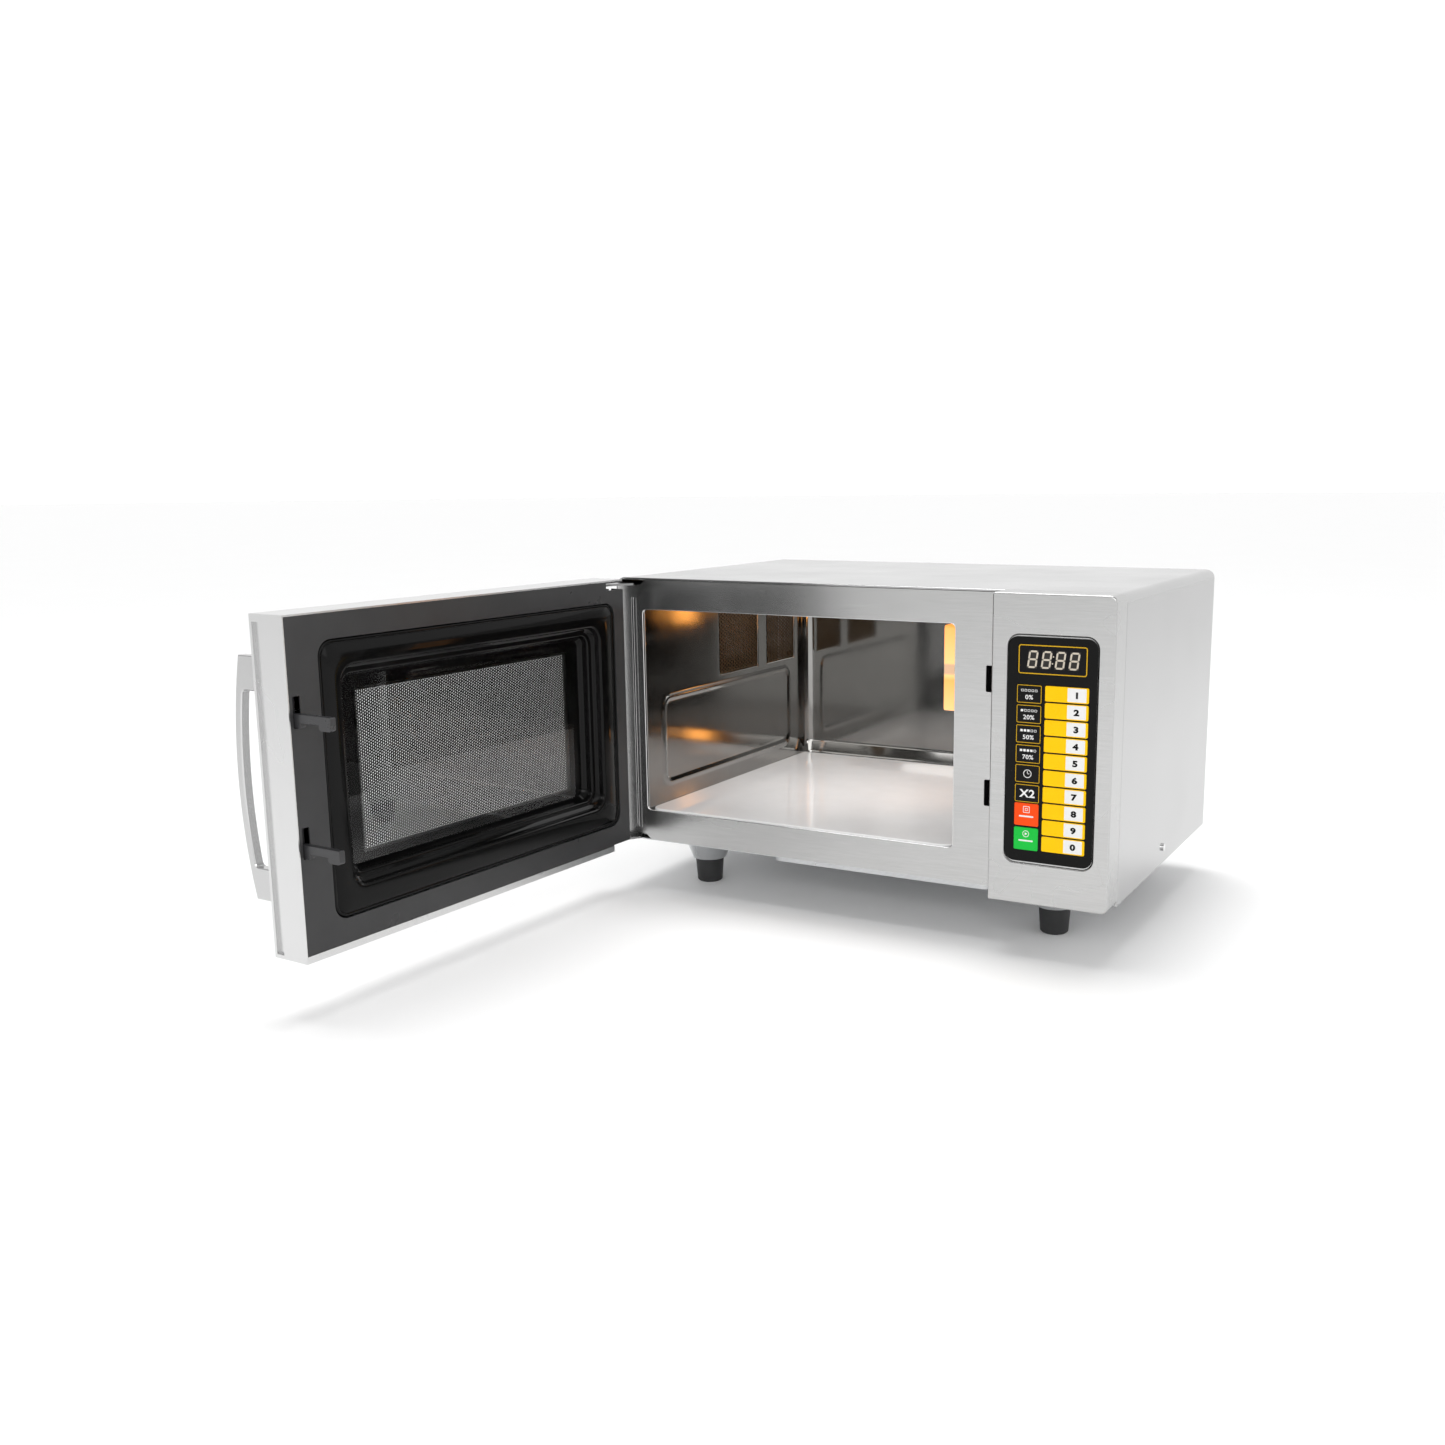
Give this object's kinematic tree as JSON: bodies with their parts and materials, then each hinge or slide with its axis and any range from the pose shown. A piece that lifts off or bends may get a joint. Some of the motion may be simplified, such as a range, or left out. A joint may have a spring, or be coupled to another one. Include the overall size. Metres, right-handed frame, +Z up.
{
  "type": "microwave oven",
  "caption": "Counter-top microwave oven in brushed steel, with a side-hinged stepped door and D-handle, a flat ceramic floor and a touch keypad with a digital display.",
  "frame": {"origin": "on the table top, at the centre of the rectangle of the four feet", "axes": "+X to the right as seen from the front, +Y to the back, +Z up; the door at rest stands open, forwards of the front frame"},
  "size_m": [0.5804, 0.7772, 0.3146],
  "materials": {
    "cover_steel": "satin brushed, grain front to back",
    "frame_steel": "satin brushed",
    "cavity_steel": "bright satin",
    "fascia_steel": "satin brushed, upright grain",
    "door_steel": "satin brushed",
    "handle_steel": "satin",
    "plated_steel": "zinc plated",
    "motor_steel": "plated",
    "hinge_steel": "dark plated",
    "screw_steel": "bright plated",
    "spring_steel": "plated wire",
    "core_iron": "varnished laminations",
    "winding_copper": "enamelled copper",
    "aluminium_sheet": "mill",
    "capacitor_can": "satin",
    "shelf_ceramic": "glazed",
    "seal_silicone": "soft",
    "foot_rubber": "matt",
    "overlay_black": "semi gloss",
    "display_black": "gloss",
    "key_black": "semi gloss",
    "key_yellow": "semi gloss",
    "key_red": "semi gloss",
    "key_green": "semi gloss",
    "board_green": "solder resist",
    "black_plastic": "moulded",
    "fan_plastic": "moulded",
    "bush_plastic": "moulded",
    "latch_plastic": "moulded",
    "lamp_amber": "clear amber",
    "lamp_glass": "clear",
    "door_gloss_black": "gloss enamel",
    "choke_gloss_black": "gloss",
    "screen_black": "black enamel",
    "door_glass": "smoked, clear"
  },
  "bodies": {
    "cabinet": {"base_plate": "plated_steel", "board_carrier": "black_plastic", "cabinet_screws": "screw_steel", "capacitor": "capacitor_can", "cavity_shell": "cavity_steel", "ceramic_shelf": "shelf_ceramic", "control_board": "board_green", "control_fascia": "fascia_steel", "cord_gland": "black_plastic", "display_module": "display_black", "fan_motor": "motor_steel", "fan_shroud": "black_plastic", "feet": "foot_rubber", "front_frame": "frame_steel", "hinge_brackets": "hinge_steel", "hinge_pins": "hinge_steel", "keypad_overlay": "overlay_black", "lamp_bulb": "lamp_glass", "lamp_cover": "lamp_amber", "lamp_holder": "plated_steel", "latch_board": "black_plastic", "magnetron": "aluminium_sheet", "microswitches": "black_plastic", "outer_cover": "cover_steel", "rear_panel": "plated_steel", "shelf_seal": "seal_silicone", "stirrer_motor": "motor_steel", "transformer_core": "core_iron", "transformer_windings": "winding_copper", "waveguide": "plated_steel"},
    "door": {"door_skin": "door_steel", "door_inner_frame": "door_gloss_black", "choke_cover": "choke_gloss_black", "door_screen": "screen_black", "door_glass": "door_glass", "hinge_bushes": "bush_plastic", "door_handle": "handle_steel", "handle_screws": "screw_steel", "latch_spring": "spring_steel"},
    "latch": {"latch_claw": "latch_plastic"},
    "stirrer": {"stirrer_antenna": "aluminium_sheet"},
    "fan": {"fan_blade": "fan_plastic"},
    "key_0_cap": {"key_0": "key_yellow"},
    "key_1_cap": {"key_1": "key_yellow"},
    "key_2_cap": {"key_2": "key_yellow"},
    "key_3_cap": {"key_3": "key_yellow"},
    "key_4_cap": {"key_4": "key_yellow"},
    "key_5_cap": {"key_5": "key_yellow"},
    "key_6_cap": {"key_6": "key_yellow"},
    "key_7_cap": {"key_7": "key_yellow"},
    "key_8_cap": {"key_8": "key_yellow"},
    "key_9_cap": {"key_9": "key_yellow"},
    "key_double_cap": {"key_double": "key_black"},
    "key_power_0_cap": {"key_power_0": "key_black"},
    "key_power_20_cap": {"key_power_20": "key_black"},
    "key_power_50_cap": {"key_power_50": "key_black"},
    "key_power_70_cap": {"key_power_70": "key_black"},
    "key_start_cap": {"key_start": "key_green"},
    "key_stop_cap": {"key_stop": "key_red"},
    "key_time_cap": {"key_time": "key_black"}
  },
  "joints": [
    {"name": "door_hinge", "type": "hinge", "parent": "cabinet", "child": "door", "pos_m": [-0.253, -0.192, 0.18], "axis": [0, 0, 1], "range_deg": [-15, 92.3]},
    {"name": "latch_slide", "type": "slide", "parent": "door", "child": "latch", "axis": [0, 0, 1], "range_m": [0, 0.005], "stiffness_N_per_m": 300, "springref_m": -0.01, "deforming": ["latch_spring"]},
    {"name": "stirrer_spin", "type": "hinge", "parent": "cabinet", "child": "stirrer", "pos_m": [-0.0595, 0.005, 0.06], "axis": [0, 0, 1], "continuous": true},
    {"name": "fan_spin", "type": "hinge", "parent": "cabinet", "child": "fan", "pos_m": [0.184, 0.118, 0.226], "axis": [0, 1, 0], "continuous": true},
    {"name": "key_0_press", "type": "slide", "parent": "cabinet", "child": "key_0_cap", "axis": [0, 1, 0], "range_m": [0, 0.0004], "stiffness_N_per_m": 4000},
    {"name": "key_1_press", "type": "slide", "parent": "cabinet", "child": "key_1_cap", "axis": [0, 1, 0], "range_m": [0, 0.0004], "stiffness_N_per_m": 4000},
    {"name": "key_2_press", "type": "slide", "parent": "cabinet", "child": "key_2_cap", "axis": [0, 1, 0], "range_m": [0, 0.0004], "stiffness_N_per_m": 4000},
    {"name": "key_3_press", "type": "slide", "parent": "cabinet", "child": "key_3_cap", "axis": [0, 1, 0], "range_m": [0, 0.0004], "stiffness_N_per_m": 4000},
    {"name": "key_4_press", "type": "slide", "parent": "cabinet", "child": "key_4_cap", "axis": [0, 1, 0], "range_m": [0, 0.0004], "stiffness_N_per_m": 4000},
    {"name": "key_5_press", "type": "slide", "parent": "cabinet", "child": "key_5_cap", "axis": [0, 1, 0], "range_m": [0, 0.0004], "stiffness_N_per_m": 4000},
    {"name": "key_6_press", "type": "slide", "parent": "cabinet", "child": "key_6_cap", "axis": [0, 1, 0], "range_m": [0, 0.0004], "stiffness_N_per_m": 4000},
    {"name": "key_7_press", "type": "slide", "parent": "cabinet", "child": "key_7_cap", "axis": [0, 1, 0], "range_m": [0, 0.0004], "stiffness_N_per_m": 4000},
    {"name": "key_8_press", "type": "slide", "parent": "cabinet", "child": "key_8_cap", "axis": [0, 1, 0], "range_m": [0, 0.0004], "stiffness_N_per_m": 4000},
    {"name": "key_9_press", "type": "slide", "parent": "cabinet", "child": "key_9_cap", "axis": [0, 1, 0], "range_m": [0, 0.0004], "stiffness_N_per_m": 4000},
    {"name": "key_double_press", "type": "slide", "parent": "cabinet", "child": "key_double_cap", "axis": [0, 1, 0], "range_m": [0, 0.0004], "stiffness_N_per_m": 4000},
    {"name": "key_power_0_press", "type": "slide", "parent": "cabinet", "child": "key_power_0_cap", "axis": [0, 1, 0], "range_m": [0, 0.0004], "stiffness_N_per_m": 4000},
    {"name": "key_power_20_press", "type": "slide", "parent": "cabinet", "child": "key_power_20_cap", "axis": [0, 1, 0], "range_m": [0, 0.0004], "stiffness_N_per_m": 4000},
    {"name": "key_power_50_press", "type": "slide", "parent": "cabinet", "child": "key_power_50_cap", "axis": [0, 1, 0], "range_m": [0, 0.0004], "stiffness_N_per_m": 4000},
    {"name": "key_power_70_press", "type": "slide", "parent": "cabinet", "child": "key_power_70_cap", "axis": [0, 1, 0], "range_m": [0, 0.0004], "stiffness_N_per_m": 4000},
    {"name": "key_start_press", "type": "slide", "parent": "cabinet", "child": "key_start_cap", "axis": [0, 1, 0], "range_m": [0, 0.0004], "stiffness_N_per_m": 4000},
    {"name": "key_stop_press", "type": "slide", "parent": "cabinet", "child": "key_stop_cap", "axis": [0, 1, 0], "range_m": [0, 0.0004], "stiffness_N_per_m": 4000},
    {"name": "key_time_press", "type": "slide", "parent": "cabinet", "child": "key_time_cap", "axis": [0, 1, 0], "range_m": [0, 0.0004], "stiffness_N_per_m": 4000}
  ]
}
